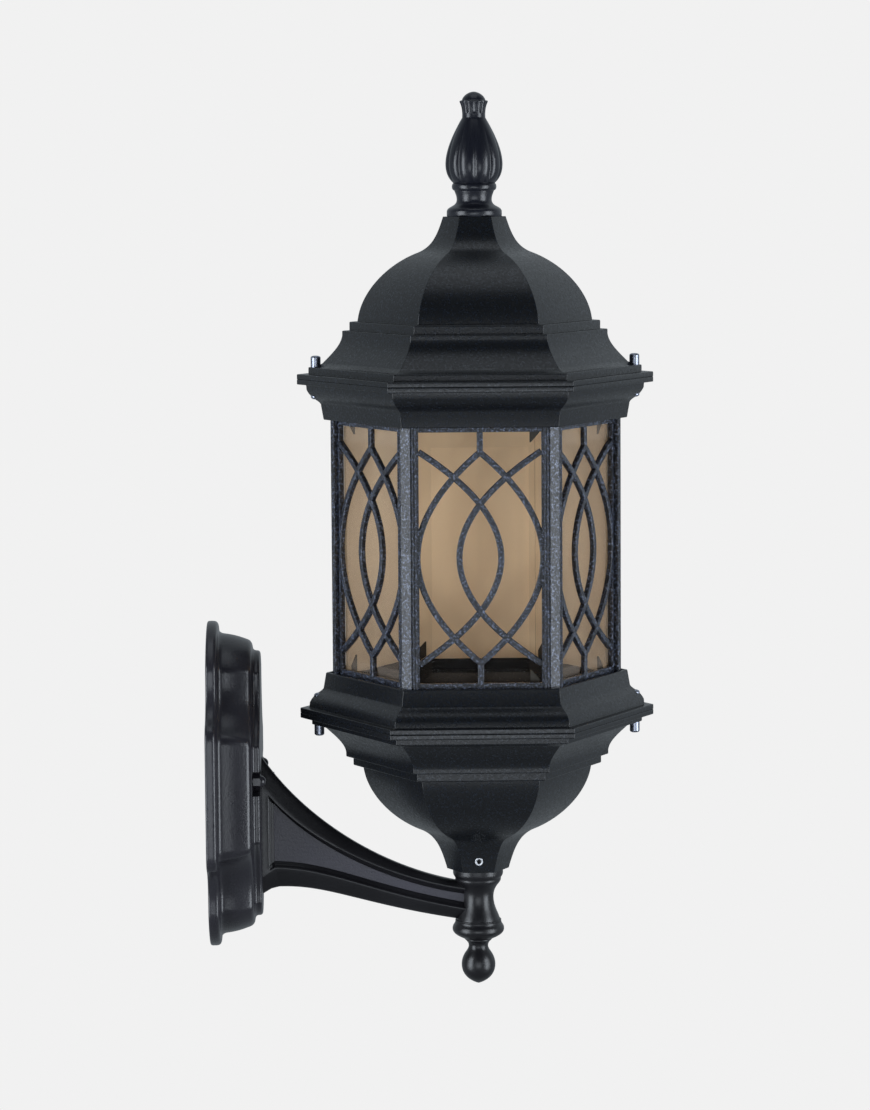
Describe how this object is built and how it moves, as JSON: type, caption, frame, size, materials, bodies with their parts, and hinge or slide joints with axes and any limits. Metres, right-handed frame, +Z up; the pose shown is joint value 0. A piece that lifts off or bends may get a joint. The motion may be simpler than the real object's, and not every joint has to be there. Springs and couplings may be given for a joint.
{
  "type": "hexagonal wall lantern",
  "caption": "Hexagonal cast wall lantern with a bell roof and mirrored bowl, lattice panels over bevelled glass, on a bottom arm from a stepped wall plate.",
  "frame": {"origin": "On the wall plane, midway between the two outlet-box screws of the mounting strap.", "axes": "+X runs away from the wall, +Z is up, and Y runs along the wall; the lantern's axis stands 171 mm out from the wall."},
  "size_m": [0.2835, 0.1948, 0.5677],
  "materials": {
    "textured_black_casting": "fine textured powder coat",
    "satin_black_casting": "smooth satin powder coat",
    "champagne_glass": "bevelled, tinted",
    "zinc_steel": "zinc plated",
    "bright_steel": "plain",
    "green_steel": "green dyed",
    "porcelain": "glazed",
    "brass": "plain",
    "black_spring_steel": "black"
  },
  "bodies": {
    "root": {"arm": "satin_black_casting", "arm_screws": "zinc_steel", "backplate": "satin_black_casting", "backplate_cap_nuts": "satin_black_casting", "bowl": "textured_black_casting", "bowl_cap_nuts": "textured_black_casting", "bowl_screws": "textured_black_casting", "drop_finial": "satin_black_casting", "finial": "textured_black_casting", "finial_nut": "zinc_steel", "finial_stud": "zinc_steel", "ground_screw": "green_steel", "lamp_contact": "brass", "lamp_holder": "porcelain", "lamp_screw_shell": "brass", "lamp_stem": "zinc_steel", "lattice_1": "textured_black_casting", "lattice_2": "textured_black_casting", "lattice_3": "textured_black_casting", "lattice_4": "textured_black_casting", "lattice_5": "textured_black_casting", "lattice_6": "textured_black_casting", "lower_ring": "textured_black_casting", "mounting_strap": "zinc_steel", "neck_set_screws": "bright_steel", "pane_1": "champagne_glass", "pane_2": "champagne_glass", "pane_3": "champagne_glass", "pane_4": "champagne_glass", "pane_5": "champagne_glass", "pane_6": "champagne_glass", "pane_clips": "black_spring_steel", "post_1": "textured_black_casting", "post_2": "textured_black_casting", "post_3": "textured_black_casting", "post_4": "textured_black_casting", "post_5": "textured_black_casting", "post_6": "textured_black_casting", "post_screws": "zinc_steel", "roof": "textured_black_casting", "roof_cap_nuts": "textured_black_casting", "roof_screws": "textured_black_casting", "stem_nuts": "zinc_steel", "strap_studs": "zinc_steel", "upper_ring": "textured_black_casting"}
  },
  "joints": []
}
